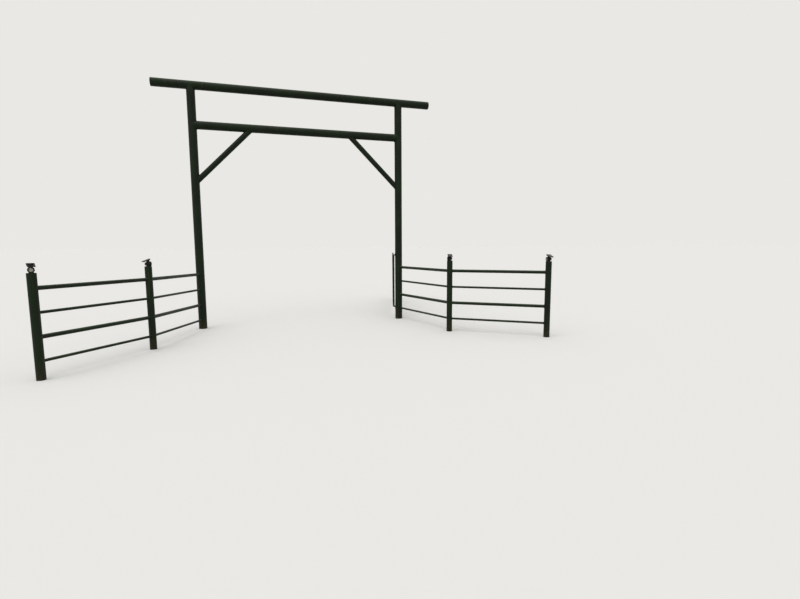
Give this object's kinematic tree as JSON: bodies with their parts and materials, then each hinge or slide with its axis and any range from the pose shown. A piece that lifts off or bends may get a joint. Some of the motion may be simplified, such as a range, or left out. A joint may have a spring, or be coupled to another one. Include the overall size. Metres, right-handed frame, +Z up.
{
  "type": "ranch entrance gateway with swing gate and wing fences",
  "caption": "Welded pipe entrance portal with an overhanging header, tie beam and knee braces, cranked rail fences on both sides, a swinging pipe gate and small solar lights on the posts.",
  "frame": {"origin": "centre of the left portal post's closed foot, at ground level", "axes": "+X along the header towards the right portal post, which carries the gate; -Y towards the wing fences; +Z up"},
  "size_m": [8.2693, 7.638, 5.1342],
  "materials": {
    "green_paint": "weathered dark green gloss paint on steel pipe",
    "hinge_paint": "dark green paint worn at the pins",
    "light_plastic": "matt black",
    "solar_cell": "dark glossy cells in a black frame",
    "lens": "clear plastic over a pale reflector"
  },
  "bodies": {
    "gateway": {"left_portal_post": "green_paint", "right_portal_post": "green_paint", "header_beam": "green_paint", "header_left_end_plate": "green_paint", "header_right_end_plate": "green_paint", "tie_beam": "green_paint", "left_knee_brace": "green_paint", "right_knee_brace": "green_paint", "left_mid_post": "green_paint", "left_end_post": "green_paint", "right_mid_post": "green_paint", "right_end_post": "green_paint", "left_inner_top_rail": "green_paint", "left_inner_upper_rail": "green_paint", "left_inner_lower_rail": "green_paint", "left_inner_bottom_rail": "green_paint", "left_outer_top_rail": "green_paint", "left_outer_upper_rail": "green_paint", "left_outer_lower_rail": "green_paint", "left_outer_bottom_rail": "green_paint", "right_inner_top_rail": "green_paint", "right_inner_upper_rail": "green_paint", "right_inner_lower_rail": "green_paint", "right_inner_bottom_rail": "green_paint", "right_outer_top_rail": "green_paint", "right_outer_upper_rail": "green_paint", "right_outer_lower_rail": "green_paint", "right_outer_bottom_rail": "green_paint", "wing_post_caps": "green_paint", "left_end_light": "light_plastic", "left_mid_light": "light_plastic", "right_mid_light": "light_plastic", "right_end_light": "light_plastic", "solar_panels": "solar_cell", "light_lenses": "lens", "upper_hinge_bracket": "hinge_paint", "lower_hinge_bracket": "hinge_paint"},
    "gate": {"gate_hinge_stile": "green_paint", "gate_latch_stile": "green_paint", "gate_top_rail": "green_paint", "gate_middle_rails": "green_paint", "gate_bottom_rail": "green_paint", "gate_stays": "green_paint", "gate_diagonal_brace": "green_paint"}
  },
  "joints": [
    {"name": "gate_swing", "type": "hinge", "parent": "gateway", "child": "gate", "pos_m": [4.31275, 0, 0.92], "axis": [0, 0, 1], "range_deg": [-10, 106]}
  ]
}
